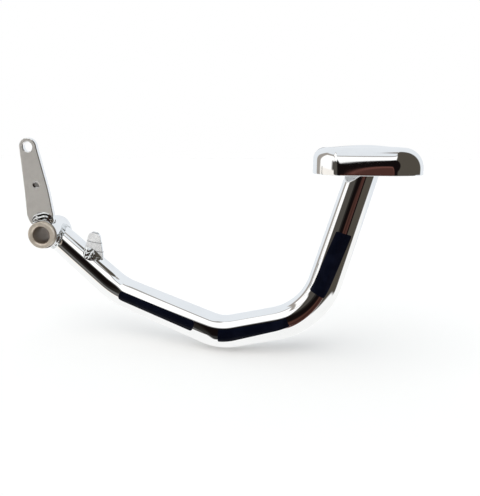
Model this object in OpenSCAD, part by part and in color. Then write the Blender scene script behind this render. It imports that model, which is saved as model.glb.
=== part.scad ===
// Rear brake pedal of a light motorcycle: a bent steel tube from a pivot boss to a pressed foot pad.
// The tube is one piece of metal. It is drawn as five lengths that meet at square cuts beside its bends.
// The frame: X runs forward along the pedal, Z is up, and Y points in towards the motorcycle.
// The origin is on the pivot axis, halfway along the flanged sleeve.
// All lengths are in millimetres and all angles in degrees.

/* [Pivot sleeve] */
// Inside diameter of the sleeve, for the frame's pivot bolt
sleeve_bore_d = 12; // [8:0.5:13]
// Wall of the sleeve's barrel
sleeve_wall = 1.7; // [1.2:0.1:2.5]
// Diameter of the sleeve's flange
flange_d = 18.7; // [17:0.1:20]
// Thickness of the sleeve's flange
flange_t = 3.3; // [2:0.1:5]
// Widening of the bore's mouth, measured on the radius
mouth_chamfer = 1.15; // [0.3:0.05:1.8]
// Small bevel round the flange's front edge
flange_bevel = 0.4; // [0.2:0.1:0.8]

/* [Pivot boss] */
// Outside diameter of the boss
boss_d = 20.5; // [19.5:0.1:24]
// Running clearance between sleeve and boss, on the radius
sleeve_clearance = 0.05; // [0.02:0.01:0.1]
// Side play between the flange and the boss, and what the barrel stands out at the far end
side_play = 0.3; // [0.2:0.05:0.6]
// Bevel at the boss's two outer edges
boss_bevel = 0.5; // [0.2:0.1:1]

/* [Lever plate] */
// Height of the rod hole above the pivot axis
lever_h = 61.1; // [50:0.1:75]
// How far the rod hole lies behind the pivot axis
lever_back = 6.9; // [0:0.1:12]
// Thickness of the lever plate
lever_t = 4; // [3:0.5:5]
// Distance from the boss's near end to the plate's near face
lever_inset = 2; // [1.5:0.1:2.5]
// Radius of the plate's rounded top
lever_top_r = 6.2; // [5.5:0.1:9]
// Diameter of the rod hole
rod_hole_d = 6.5; // [5:0.5:8]
// Width of the plate at its foot
lever_foot_w = 19.6; // [18:0.2:22]
// Radius of the ball that presses the round mark
mark_ball_r = 5; // [4:0.5:7]
// Depth of the round mark
mark_depth = 0.7; // [0.3:0.1:1]
// Gap between the plate's far face and the side of the tube
lever_gap = 0.1; // [0.05:0.05:0.5]
// Height of the round mark above the pivot axis
mark_h = 35; // [28:1:42]

/* [Arm tube] */
// Diameter of the tube where it is full
tube_d = 22; // [20:0.5:23]
// Diameter of the tube where it is drawn down for the boss
tube_boss_d = 19; // [17:0.2:19]
// Diameter of the tube at the first bend
tube_bend_d = 20.6; // [19.5:0.2:22]
// Diameter of the tube where it is drawn down for the pad
tube_pad_d = 19.2; // [18:0.2:22]
// Wall of the tube
tube_wall = 2; // [1.5:0.1:2.5]
// How far the side of the tube stays inside the boss's far end
tube_edge = 0.2; // [0.1:0.1:1]
// Distance of the first bend's corner from the pivot axis
bend_one_x = 52; // [48:0.5:58]
// Depth of the first bend's corner below the pivot axis
bend_one_drop = 41; // [36:0.5:46]
// How far the first bend's corner lies out from the sleeve's middle
bend_one_out = 6; // [2:0.5:10]
// Distance of the second bend's corner from the pivot axis
bend_two_x = 129; // [122:0.5:136]
// Depth of the second bend's corner below the pivot axis
bend_two_drop = 63.3; // [58:0.1:68]
// Distance of the third bend's corner from the pivot axis
bend_three_x = 191.2; // [186:0.1:196]
// Depth of the third bend's corner below the pivot axis
bend_three_drop = 49.5; // [44:0.5:54]
// Forward lean of the last run from upright, in degrees
rise_lean = 16.12; // [10:0.01:22]
// Sideways offset of the pedal's outer run, away from the motorcycle
crank = 26; // [10:1:40]
// Radius of the first bend, at the tube's axis
bend_one_r = 50; // [40:1:65]
// Radius of the second bend, at the tube's axis
bend_two_r = 34; // [28:1:45]
// Radius of the third bend, at the tube's axis
bend_three_r = 44; // [32:1:46]
// How far the bends swell over the straight runs, on the radius
bend_swell = 0.04; // [0.03:0.01:0.1]
// How far the straight runs reach into the bends
run_overlap = 0.5; // [0.3:0.1:0.8]

/* [Foot pad] */
// Length of the pad
pad_l = 65; // [60:1:80]
// Width of the pad
pad_w = 45; // [40:1:55]
// Height of the pad, from its rim to its crown
pad_h = 17.5; // [15:0.5:20]
// Thickness of the pad's sheet
pad_wall = 2; // [1.5:0.1:2.5]
// Corner radius of the pad, seen from above
pad_corner_r = 14; // [13:0.5:17]
// Radius over the rear edge of the pad
pad_rear_r = 7; // [5:0.5:10]
// Radius over the front edge of the pad
pad_front_r = 12.5; // [8:0.5:13]
// How far the pad's middle stands above its edges
pad_crown = 1.4; // [0.6:0.1:2]
// Height of the pad's rim above the pivot axis
pad_rim_z = 45.4; // [35:0.2:60]
// Distance from the pivot axis to the middle of the pad
pad_x = 220.5; // [200:0.5:240]

/* [Stop tab] */
// Thickness of the tab's sheet
tab_t = 2.5; // [2:0.5:4]
// Radius of the tab's rounded top
tab_top_r = 4.7; // [4:0.1:6]
// Distance of the tab from the pivot axis, to the middle of its top
tab_x = 34.7; // [32:0.1:42]
// Height of the middle of the tab's rounded top, from the pivot axis
tab_z = -3.4; // [-6:0.2:0]
// How far the tab's near face lies out from the sleeve's middle
tab_y = 4.9; // [4:0.1:6]

/* [Weld beads] */
// Height of the bead between the tube and the boss
arm_bead = 2.2; // [1.2:0.1:3]
// Reach of the bead up the lever plate's near face
lever_bead = 6; // [3:0.1:7]
// Height of the bead at the foot of the tab
tab_bead = 1.3; // [0.8:0.1:2]
// Height of the bead under the pad
pad_bead = 3; // [2:0.2:4]

/* [Hidden] */
$fn = 72;

// The boss is as long as the tube is wide, with room for the lever plate beside it.
boss_len = lever_inset + lever_t + lever_gap + tube_boss_d + tube_edge;
sleeve_len = flange_t + boss_len + 2 * side_play;

// Pivot group, from the near end to the far end.
near_y = -sleeve_len / 2;
far_y = sleeve_len / 2;
barrel_r = sleeve_bore_d / 2 + sleeve_wall;
boss_bore_r = barrel_r + sleeve_clearance;
boss_near = near_y + flange_t + side_play;
boss_far = far_y - side_play;
boss_r = boss_d / 2;

// Lever plate, seen square on from the near side.
lever_y = boss_near + lever_inset;
foot_left = -0.61 * lever_foot_w;
foot_right = 0.39 * lever_foot_w;
lever_back_y = lever_y + lever_t;

// Arm tube: the corner points where the straight runs would meet.
tube_r = tube_d / 2;
rim_top = pad_rim_z + pad_h - pad_wall;
start = [0, boss_far - tube_edge - tube_boss_d / 2, 0];
corner_one = [bend_one_x, -bend_one_out, -bend_one_drop];
corner_two = [bend_two_x, -crank, -bend_two_drop];
corner_three = [bend_three_x, -crank, -bend_three_drop];
lean = tan(rise_lean);
corner_top = corner_three + [lean, 0, 1] * (rim_top + pad_wall + bend_three_drop);

// Stop tab and its bead.
tab_face = -tab_y;

function unit(v) = v / norm(v);
function turn(a, b, c) = acos(unit(b - a) * unit(c - b));
function cut_back(a, b, c, r) = r * tan(turn(a, b, c) / 2);
function along(a, b, d) = a + unit(b - a) * d;

// Lengths that each bend takes from the runs on both sides of its corner.
cut_one = cut_back(start, corner_one, corner_two, bend_one_r);
cut_two = cut_back(corner_one, corner_two, corner_three, bend_two_r);
cut_three = cut_back(corner_two, corner_three, corner_top, bend_three_r);

// Ends of the four runs, where the bends begin and end.
end_one = along(corner_one, start, cut_one);
end_two = along(corner_two, corner_one, cut_two);
end_three = along(corner_three, corner_two, cut_three);
start_four = along(corner_three, corner_top, cut_three);

// A straight round bar between two points, with its own radius at each end.
module bar(a, b, ra, rb) {
  d = b - a;
  translate(a)
    rotate([0, acos(d[2] / norm(d)), atan2(d[1], d[0])])
      cylinder(h = norm(d), r1 = ra, r2 = rb);
}

// A hollow bend of radius r at corner b, between the runs from a and to c.
module bend(a, b, c, r, outer_r) {
  u = unit(b - a);
  w = unit(c - b);
  angle = turn(a, b, c);
  first = b - u * r * tan(angle / 2);
  mid = b + unit(w - u) * r / cos(angle / 2);
  x = unit(first - mid);
  z = cross(x, u);
  multmatrix([[x[0], u[0], z[0], mid[0]], [x[1], u[1], z[1], mid[1]], [x[2], u[2], z[2], mid[2]]])
    rotate_extrude(angle = angle)
      translate([r, 0])
        difference() {
          circle(r = outer_r + bend_swell);
          circle(r = outer_r + bend_swell - tube_wall);
        }
}

// A straight length of hollow tube between two points, with its own outer radius at each end.
module pipe(a, b, ra, rb) {
  difference() {
    bar(a, b, ra, rb);
    bar(along(a, b, -1), along(b, a, -1), ra - tube_wall, rb - tube_wall);
  }
}

// The whole first run as the beads and the tab meet it.
module first_run(grow) {
  bar(start, end_one, tube_boss_d / 2 + grow, tube_bend_d / 2 + grow);
}

// All that lies above the level where the tube ends under the pad.
module above_rim() {
  translate([corner_top[0] - 2 * tube_d, -crank - 2 * tube_d, rim_top])
    cube([4 * tube_d, 4 * tube_d, 2 * tube_d]);
}

// A round bar along the pivot axis, between two places on it.
module across(r, y_from, y_to) {
  translate([0, y_from, 0])
    rotate([-90, 0, 0])
      cylinder(h = y_to - y_from, r = r);
}

// A cone along the pivot axis.
module across_cone(ra, rb, y_from, y_to) {
  translate([0, y_from, 0])
    rotate([-90, 0, 0])
      cylinder(h = y_to - y_from, r1 = ra, r2 = rb);
}

// A flat outline, drawn with X to the right and Z up, given thickness from y_from to y_to.
module upright(y_from, y_to) {
  translate([0, y_to, 0])
    rotate([90, 0, 0])
      linear_extrude(height = y_to - y_from)
        children();
}

// First length of the tube: straight, drawn down and coped to the boss.
module arm_neck() {
  color([0.82, 0.85, 0.88])
    difference() {
      pipe(start, end_one, tube_boss_d / 2, tube_bend_d / 2);
      across(boss_r, boss_near - tube_d, boss_far + tube_d);
    }
}

// Second length: the first bend, and the run that cranks the pedal outward.
module arm_reach() {
  color([0.82, 0.85, 0.88]) {
    bend(start, corner_one, corner_two, bend_one_r, tube_bend_d / 2);
    pipe(along(corner_one, corner_two, cut_one - run_overlap), end_two, tube_bend_d / 2, tube_r);
  }
}

// Third length: the second bend, which is the pedal's lowest place, and the short run after it.
module arm_base() {
  color([0.82, 0.85, 0.88]) {
    bend(corner_one, corner_two, corner_three, bend_two_r, tube_r);
    pipe(along(corner_two, corner_three, cut_two - run_overlap), end_three, tube_r, tube_r);
  }
}

// Fourth length: the third and sharpest bend.
module arm_elbow() {
  color([0.82, 0.85, 0.88])
    bend(corner_two, corner_three, corner_top, bend_three_r, tube_r);
}

// Last length: straight, drawn down and cut level under the pad.
module arm_rise() {
  color([0.82, 0.85, 0.88])
    difference() {
      pipe(start_four, corner_top, tube_r, tube_pad_d / 2);
      above_rim();
    }
}

// Round boss with a plain bore for the sleeve.
module pivot_boss() {
  color([0.82, 0.85, 0.88])
    difference() {
      union() {
        across(boss_r, boss_near + boss_bevel, boss_far - boss_bevel);
        across_cone(boss_r - boss_bevel, boss_r, boss_near, boss_near + boss_bevel);
        across_cone(boss_r, boss_r - boss_bevel, boss_far - boss_bevel, boss_far);
      }
      across(boss_bore_r, boss_near - 1, boss_far + 1);
    }
}

// Flanged sleeve that the frame's bolt clamps and the pedal turns on.
module pivot_sleeve() {
  bore_r = sleeve_bore_d / 2;
  color([0.62, 0.53, 0.44])
    difference() {
      union() {
        across(barrel_r, near_y + flange_bevel, far_y);
        across(flange_d / 2, near_y + flange_bevel, near_y + flange_t);
        across_cone(flange_d / 2 - flange_bevel, flange_d / 2, near_y, near_y + flange_bevel);
      }
      across(bore_r, near_y - 1, far_y + 1);
      across_cone(bore_r + mouth_chamfer, bore_r, near_y, near_y + mouth_chamfer);
    }
}

// Flat lever that carries the brake rod, coped over the boss.
module lever_plate() {
  top_left = -lever_back - lever_top_r + 0.05;
  top_right = -lever_back + lever_top_r - 0.12;
  color([0.68, 0.66, 0.64])
    difference() {
      upright(lever_y, lever_back_y)
        union() {
          translate([-lever_back, lever_h])
            circle(r = lever_top_r);
          polygon([
            [top_left, lever_h],
            [foot_left - 0.05, 0.5 * lever_h],
            [foot_left, 0.22 * lever_h],
            [foot_left + 0.7, boss_r + 0.45],
            [foot_left + 3.6, 0.51 * boss_r],
            [0, 0],
            [foot_right - 1.6, 0.585 * boss_r],
            [foot_right - 0.3, boss_r - 0.75],
            [foot_right, 0.22 * lever_h],
            [foot_right - 2.1, 0.5 * lever_h],
            [top_right, lever_h]
          ]);
        }
      translate([-lever_back, 0, lever_h])
        across(rod_hole_d / 2, lever_y - 1, lever_back_y + 1);
      across(boss_r, lever_y - 1, lever_back_y + 1);
      translate([-lever_back * 0.44, lever_y - mark_ball_r + mark_depth, mark_h])
        sphere(r = mark_ball_r);
    }
}

// Fillet beads over the boss, on the near and far faces of the lever plate.
module lever_weld() {
  near_toe = boss_r + lever_bead;
  far_toe = boss_r + 3.2;
  room = lever_inset - 0.2;
  color([0.72, 0.73, 0.75]) {
    intersection() {
      rotate([90, 0, 0])
        rotate_extrude(angle = 180)
          polygon([
            [boss_r, -lever_y],
            [near_toe, -lever_y],
            [near_toe - 0.6, -lever_y + 0.5],
            [boss_r + 2.3, -lever_y + room - 0.3],
            [boss_r + 1, -lever_y + room],
            [boss_r, -lever_y + room]
          ]);
      upright(lever_y - 5, lever_y + 5)
        translate([0.2, boss_r - 1.45])
          circle(r = lever_bead + 1.3);
    }
    intersection() {
      rotate([90, 0, 0])
        rotate_extrude(angle = 180)
          polygon([
            [boss_r, -lever_back_y],
            [boss_r, -lever_back_y - 2.4],
            [boss_r + 0.8, -lever_back_y - 2.4],
            [far_toe - 0.7, -lever_back_y - 1.2],
            [far_toe, -lever_back_y]
          ]);
      upright(lever_back_y - 5, lever_back_y + 5)
        translate([-1.6, boss_r - 1.45])
          circle(r = lever_bead + 0.3);
    }
  }
}

// Bead round the coped joint between the tube and the boss.
module arm_weld() {
  toe = boss_r + arm_bead;
  color([0.72, 0.73, 0.75])
    difference() {
      intersection() {
        bar(along(start, corner_one, 2.4), along(start, corner_one, 14),
          tube_boss_d / 2 + 0.4, tube_boss_d / 2 + 1.3 * arm_bead);
        across(toe, near_y, boss_far - boss_bevel);
      }
      first_run(0);
      across(boss_r, near_y - 1, far_y + 1);
    }
}

// Flat ear with a rounded top, standing on the crown of the first run.
module stop_tab() {
  color([0.82, 0.85, 0.88])
    difference() {
      upright(tab_face, tab_face + tab_t)
        union() {
          translate([tab_x, tab_z])
            circle(r = tab_top_r);
          polygon([
            [tab_x - tab_top_r + 0.06, tab_z],
            [tab_x - tab_top_r - 2.4, tab_z - 6.8],
            [tab_x - tab_top_r - 2.4, tab_z - 15],
            [tab_x + tab_top_r + 1, tab_z - 22],
            [tab_x + tab_top_r + 1, tab_z - 10],
            [tab_x + tab_top_r - 0.06, tab_z]
          ]);
        }
      first_run(0);
      translate([tab_x - 15, tab_face - 1, tab_z - 40])
        cube([30, tab_t + 2, 21]);
    }
}

// Bead at the tab's foot, run down over the near side of the tube.
module tab_weld() {
  foot_x = tab_x - 1;
  foot_z = tab_z - 8.9;
  from = along(start, corner_one, 24);
  to = along(start, corner_one, 48);
  rise = [0.55 * 7.6, 0, 0.83 * 7.6];
  color([0.72, 0.73, 0.75])
    difference() {
      intersection() {
        upright(-20, tab_face)
          translate([foot_x, foot_z])
            circle(r = 5.8);
        union() {
          first_run(tab_bead);
          bar(from + rise + [0, -4.6, 0], to + rise + [0, -4.6, 0], 3.2, 3.2);
        }
      }
      first_run(0);
    }
}

// One skin of the pad: rounded corners, rounded upper edges and a low crown.
module pad_form(wall) {
  top = pad_h - wall;
  side_x = pad_l / 2 - pad_corner_r;
  side_y = pad_w / 2 - pad_corner_r;
  plan_r = pad_corner_r - wall;
  hull() {
    for (sx = [-1, 1], sy = [-1, 1]) {
      edge_r = (sx < 0 ? pad_rear_r : pad_front_r) - wall;
      shoulder = top - pad_crown - edge_r;
      translate([sx * side_x, sy * side_y, 0]) {
        cylinder(h = shoulder, r = plan_r, $fn = 48);
        translate([0, 0, shoulder])
          rotate_extrude($fn = 48)
            translate([plan_r - edge_r, 0])
              intersection() {
                circle(r = edge_r, $fn = 48);
                square([edge_r, edge_r]);
              }
      }
    }
    translate([0, 0, top - 0.2])
      scale([17, 13.8, 1])
        cylinder(h = 0.2, r = 1, $fn = 48);
    translate([-1, 0, top - 0.35 * pad_crown - 0.2])
      scale([21, 15.5, 1])
        cylinder(h = 0.2, r = 1, $fn = 48);
  }
}

// Pressed sheet pan, open below.
module foot_pad() {
  color([0.82, 0.85, 0.88])
    translate([pad_x, -crank, pad_rim_z])
      difference() {
        pad_form(0);
        translate([0, 0, -0.01])
          pad_form(pad_wall - 0.01);
      }
}

// Bead round the end of the tube, under the pad.
module pad_weld() {
  at_pad = corner_three + [lean, 0, 1] * (rim_top + bend_three_drop);
  over = 1.3 * pad_bead;
  low = along(at_pad, corner_three, 1.5 * pad_bead);
  high = along(at_pad, corner_three, -over);
  spread = 1 / 1.5;
  color([0.72, 0.73, 0.75])
    difference() {
      intersection() {
        bar(low, high, tube_pad_d / 2 + 0.1, tube_pad_d / 2 + pad_bead + over * spread);
        translate([at_pad[0], at_pad[1], rim_top - 4 * pad_bead])
          cylinder(h = 5 * pad_bead, r = tube_pad_d / 2 + pad_bead);
      }
      bar(start_four, corner_top, tube_r, tube_pad_d / 2);
      above_rim();
    }
}

arm_neck();
arm_reach();
arm_base();
arm_elbow();
arm_rise();
pivot_boss();
pivot_sleeve();
lever_plate();
lever_weld();
arm_weld();
stop_tab();
tab_weld();
foot_pad();
pad_weld();
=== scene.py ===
"""Rear brake pedal: smooth pieces, finishes and studio, built round the packed frame."""

import math

import bmesh
import bpy
from bpy.props import (FloatProperty, FloatVectorProperty, IntProperty,
                       PointerProperty)
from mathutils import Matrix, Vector
from mathutils.geometry import tessellate_polygon


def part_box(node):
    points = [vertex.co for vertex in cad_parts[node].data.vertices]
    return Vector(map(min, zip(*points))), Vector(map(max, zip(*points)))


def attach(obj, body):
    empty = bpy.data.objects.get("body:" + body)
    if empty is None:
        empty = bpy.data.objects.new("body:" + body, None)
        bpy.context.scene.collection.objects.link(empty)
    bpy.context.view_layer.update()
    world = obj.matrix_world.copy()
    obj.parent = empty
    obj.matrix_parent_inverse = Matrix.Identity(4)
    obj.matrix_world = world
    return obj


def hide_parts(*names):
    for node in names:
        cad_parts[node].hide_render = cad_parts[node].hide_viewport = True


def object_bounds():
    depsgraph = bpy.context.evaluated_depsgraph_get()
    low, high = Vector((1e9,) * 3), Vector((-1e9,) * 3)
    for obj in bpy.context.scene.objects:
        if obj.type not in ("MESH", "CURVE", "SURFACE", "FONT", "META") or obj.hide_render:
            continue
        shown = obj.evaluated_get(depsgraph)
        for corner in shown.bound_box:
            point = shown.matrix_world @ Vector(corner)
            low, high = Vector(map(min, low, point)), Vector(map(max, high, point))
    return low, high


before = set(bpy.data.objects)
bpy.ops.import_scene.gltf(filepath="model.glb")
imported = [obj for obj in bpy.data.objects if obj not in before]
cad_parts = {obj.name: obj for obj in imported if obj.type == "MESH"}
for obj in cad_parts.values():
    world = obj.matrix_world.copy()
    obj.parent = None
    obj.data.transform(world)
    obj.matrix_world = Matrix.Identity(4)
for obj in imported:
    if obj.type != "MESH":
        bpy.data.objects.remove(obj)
CAD_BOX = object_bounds()

bl_info = {
    "name": "Rear brake pedal",
    "version": (1, 0, 0),
    "blender": (4, 5, 0),
    "location": "3D View > Sidebar > Pedal",
    "description": "Builds the pieces, finishes and studio of a chromed brake pedal",
    "category": "Add Mesh",
}

MM = 0.001
MERGE = 1e-7  # points closer than this are one
END = 5.0 * MM  # the tube's slanting top end lies within this of the end of its axis
ARM_NODES = ("arm_neck", "arm_reach", "arm_base", "arm_elbow", "arm_rise")
BOSS_LOW, BOSS_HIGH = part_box("pivot_boss")
SLEEVE_LOW, SLEEVE_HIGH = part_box("pivot_sleeve")
LEVER_LOW, LEVER_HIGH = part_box("lever_plate")
TAB_LOW, TAB_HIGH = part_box("stop_tab")
PAD_LOW, PAD_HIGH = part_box("foot_pad")


def length(label, text, default, low=0.0):
    """A length in metres."""
    return FloatProperty(name=label, description=text, default=default, min=low,
                         unit='LENGTH', precision=5)


def place(label, text, default):
    """A point in the frame, in metres."""
    return FloatVectorProperty(name=label, description=text, default=default, size=3,
                               subtype='TRANSLATION', unit='LENGTH', precision=5)


def angle(label, text, degrees):
    """An angle, given in degrees and kept in radians."""
    return FloatProperty(name=label, description=text, default=math.radians(degrees),
                         subtype='ANGLE')


def colour(label, text, default):
    """A linear colour."""
    return FloatVectorProperty(name=label, description=text, default=default, size=3,
                               subtype='COLOR', min=0.0, max=1.0)


def share(label, text, default):
    """A number between nought and one."""
    return FloatProperty(name=label, description=text, default=default, min=0.0, max=1.0,
                         subtype='FACTOR')


class PivotSizes(bpy.types.PropertyGroup):
    """Sizes of the pivot boss and its flanged sleeve."""
    boss_radius: length("Boss radius", "Outer radius of the boss", BOSS_HIGH.z)
    boss_near: length("Boss near end", "Near end of the boss along Y", BOSS_LOW.y, -1.0)
    boss_far: length("Boss far end", "Far end of the boss along Y", BOSS_HIGH.y, -1.0)
    boss_bore: length("Boss bore", "Radius of the bore in the boss", 7.75 * MM)
    sleeve_near: length("Sleeve near end", "Flange face along Y", SLEEVE_LOW.y, -1.0)
    sleeve_far: length("Sleeve far end", "Plain end along Y", SLEEVE_HIGH.y, -1.0)
    flange_radius: length("Flange radius", "Outer radius of the flange", SLEEVE_HIGH.z)
    flange_thick: length("Flange thickness", "Thickness of the flange", 3.3 * MM)
    barrel_radius: length("Barrel radius", "Outer radius of the barrel", 7.7 * MM)
    bolt_radius: length("Bore radius", "Radius of the bore for the pivot bolt", 6.0 * MM)
    mouth: length("Mouth", "Widening of the bore at the flange face", 1.15 * MM)
    bevel: length("Bevel", "Rounding of the outer edges", 0.45 * MM)


class ArmSizes(bpy.types.PropertyGroup):
    """Course and girth of the bent tube."""
    root: place("Root", "Where the tube's axis meets the pivot axis", (0.0, 4.6 * MM, 0.0))
    corner_one: place("First corner", "Where the first two runs would meet",
                      (52.0 * MM, -6.0 * MM, -41.0 * MM))
    corner_two: place("Second corner", "Where the middle runs would meet",
                      (129.0 * MM, -26.0 * MM, -63.3 * MM))
    corner_three: place("Third corner", "Where the last two runs would meet",
                        (191.2 * MM, -26.0 * MM, -49.5 * MM))
    lean: angle("Lean", "Forward lean of the last run from upright", 16.12)
    top: length("Top", "Height at which the tube ends, in the sheet of the pad", 61.3 * MM)
    bend_one: length("First bend", "Radius of the first bend", 50.0 * MM)
    bend_two: length("Second bend", "Radius of the second bend", 34.0 * MM)
    bend_three: length("Third bend", "Radius of the third bend", 44.0 * MM)
    radius_root: length("Radius at the boss", "Drawn down for the boss", 9.5 * MM)
    radius_neck: length("Radius at the first bend", "Outer radius there", 10.3 * MM)
    radius_full: length("Full radius", "Outer radius of the plain tube", 11.0 * MM)
    radius_top: length("Radius at the pad", "Drawn down for the pad", 9.6 * MM)
    around: IntProperty(name="Facets around", description="Points around the tube",
                        default=96, min=16, max=256)


class LeverSizes(bpy.types.PropertyGroup):
    """Outline of the upright rod lever."""
    near: length("Near face", "Near face along Y", LEVER_LOW.y, -1.0)
    far: length("Far face", "Far face along Y", LEVER_HIGH.y, -1.0)
    hole_x: length("Rod hole along X", "Middle of the rod hole", -6.9 * MM, -1.0)
    hole_z: length("Rod hole height", "Middle of the rod hole", 61.1 * MM)
    hole_radius: length("Rod hole radius", "Radius of the rod hole", 3.25 * MM)
    top_radius: length("Top radius", "Radius of the rounded top", 6.2 * MM)
    foot_width: length("Foot width", "Width of the plate at its foot", 19.6 * MM)
    bevel: length("Bevel", "Rounding of the sheared edges", 0.8 * MM)
    mark_z: length("Mark height", "Middle of the pressed round mark", 35.0 * MM)
    mark_ball: length("Mark ball", "Radius of the ball that presses it", 4.3 * MM)
    mark_depth: length("Mark depth", "Depth of the pressed mark", 0.9 * MM)


class PadSizes(bpy.types.PropertyGroup):
    """The pressed pan that the rider's foot pushes."""
    corner: length("Corner radius", "Radius of the corners, seen from above", 14.0 * MM)
    rear_edge: length("Rear edge", "Radius over the rear edge", 7.0 * MM)
    front_edge: length("Front edge", "Radius over the front edge", 12.5 * MM)
    side_over: length("Side rounding, across", "Reach across of the oval long sides",
                      11.0 * MM)
    side_high: length("Side rounding, height", "Height of the oval long sides", 16.1 * MM)
    rear_end: length("Rear corner, at the end", "Radius next to the rear end", 18.0 * MM)
    rear_mid: length("Rear corner, across", "Radius across the corner", 40.0 * MM)
    rear_side: length("Rear corner, at the side", "Radius next to the long side", 6.5 * MM)
    front_flat: FloatProperty(name="Front corners", default=1.85, min=1.2, max=2.0,
                              description="2 is round, less is flatter across the corner")
    taper: length("Taper", "How much each long side closes in towards the rear", 2.0 * MM)
    crown: length("Crown", "How far the middle stands over the edges", 1.4 * MM)
    sheet: length("Sheet", "Thickness of the sheet", 2.0 * MM)


class TabSizes(bpy.types.PropertyGroup):
    """The small ear on the first run."""
    middle_x: length("Middle along X", "Middle of the rounded top", 34.7 * MM)
    middle_z: length("Middle height", "Middle of the rounded top", -3.4 * MM, -1.0)
    top_radius: length("Top radius", "Radius of the rounded top", 4.7 * MM)
    bevel: length("Bevel", "Rounding of the sheared edges", 0.3 * MM)


class Finishes(bpy.types.PropertyGroup):
    """Colours and roughness of the metals and films."""
    chrome: colour("Chrome", "Tint of the plate", (0.955, 0.96, 0.965))
    chrome_rough: share("Chrome roughness", "Roughness where it is cleanest", 0.02)
    bead: colour("Bead", "Tint of the plated beads", (0.84, 0.86, 0.87))
    steel: colour("Lever steel", "Dull nickel tint of the lever", (0.90, 0.865, 0.815))
    sleeve: colour("Sleeve metal", "Brown tint of the turned sleeve", (0.93, 0.82, 0.69))
    film: colour("Label film", "Dark blue film of the blank labels", (0.003, 0.004, 0.010))
    floor: colour("Floor", "Pale floor", (0.90, 0.90, 0.89))


class StudioSizes(bpy.types.PropertyGroup):
    """Camera, floor and light."""
    camera: place("Camera", "Place of the camera", (171.7 * MM, -345.6 * MM, 67.6 * MM))
    azimuth: angle("Azimuth", "How far the camera turns to the left", 5.3)
    elevation: angle("Elevation", "How far the camera looks down", 12.5)
    lens: FloatProperty(name="Lens", description="Focal length in millimetres",
                        default=36.29, min=1.0)
    reach: length("Floor reach", "Half the side of the floor", 3.0)
    lamp: place("Lamp", "Where the lamp stands, facing the pivot", (-0.08, -0.33, 0.94))
    lamp_power: FloatProperty(name="Lamp power", description="Strength of the lamp",
                              default=1.15, min=0.0)
    lamp_angle: angle("Lamp width", "How wide the lamp looks from the pedal", 70.0)


# Meshes.

class Shape:
    """Points and faces of one mesh while it is being drawn."""

    def __init__(self):
        self.points = []
        self.faces = []

    def ring(self, points):
        """Adds points and gives their numbers."""
        first = len(self.points)
        self.points.extend(Vector(p) for p in points)
        return list(range(first, len(self.points)))

    def join(self, a, b, closed=True):
        """A band of faces between two rings of equal length."""
        count = len(a)
        for i in range(count if closed else count - 1):
            j = (i + 1) % count
            self.faces.append((a[i], a[j], b[j], b[i]))

    def join_all(self, rings, closed=True, around=False):
        """Bands between each ring and the next, and perhaps from the last to the first."""
        for a, b in zip(rings, rings[1:]):
            self.join(a, b, closed)
        if around:
            self.join(rings[-1], rings[0], closed)

    def middle(self, ring):
        """The mean of a ring's points."""
        return sum((self.points[i] for i in ring), Vector()) / len(ring)

    def fan(self, ring, middle):
        """Closes a ring with triangles to one point."""
        hub = self.ring([middle])[0]
        for i, a in enumerate(ring):
            self.faces.append((a, ring[(i + 1) % len(ring)], hub))

    def fill(self, loops):
        """A flat face with holes, from its outline and theirs."""
        order = [i for loop in loops for i in loop]
        for tri in tessellate_polygon([[self.points[i] for i in loop] for loop in loops]):
            self.faces.append(tuple(order[i] for i in tri))

    def make(self, name, material, body, nodes=(), slot="chrome", hard=None, inside=()):
        """The finished piece on its body. Edges steeper than hard degrees stay sharp."""
        if not self.faces:
            raise ValueError(f"{name} has no faces")
        mesh = bpy.data.meshes.new(name)
        mesh.from_pydata(self.points, [], self.faces)
        if inside:
            hollow = mesh.attributes.new("hollow", 'FLOAT', 'POINT')
            for i in inside:
                hollow.data[i].value = 1.0
        mesh.validate()
        work = bmesh.new()
        work.from_mesh(mesh)
        bmesh.ops.remove_doubles(work, verts=work.verts, dist=MERGE)
        bmesh.ops.recalc_face_normals(work, faces=work.faces)
        work.to_mesh(mesh)
        work.free()
        mesh.materials.append(material)
        mesh.shade_smooth()
        obj = bpy.data.objects.new(name, mesh)
        bpy.context.scene.collection.objects.link(obj)
        if hard is not None:
            mesh.set_sharp_from_angle(angle=math.radians(hard))
            weigh = obj.modifiers.new("Flat faces lead", 'WEIGHTED_NORMAL')
            weigh.keep_sharp = True
            weigh.weight = 50
        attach(obj, body)
        if nodes:
            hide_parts(*nodes)
        return obj


def lerp(a, b, t):
    """From a to b as t goes from 0 to 1."""
    return a + (b - a) * t



def circle(radius, count, middle):
    """Points of a circle in the plane."""
    return [(middle[0] + radius * math.cos(math.tau * i / count),
             middle[1] + radius * math.sin(math.tau * i / count))
            for i in range(count)]


def half_round(x, z, radius, over=0.0, steps=24):
    """The round top of a plate from right to left, some degrees farther at each end."""
    turns = [math.radians((180.0 + 2.0 * over) * k / steps - over) for k in range(steps + 1)]
    return [Vector((x + radius * math.cos(a), z + radius * math.sin(a))) for a in turns]


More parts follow.
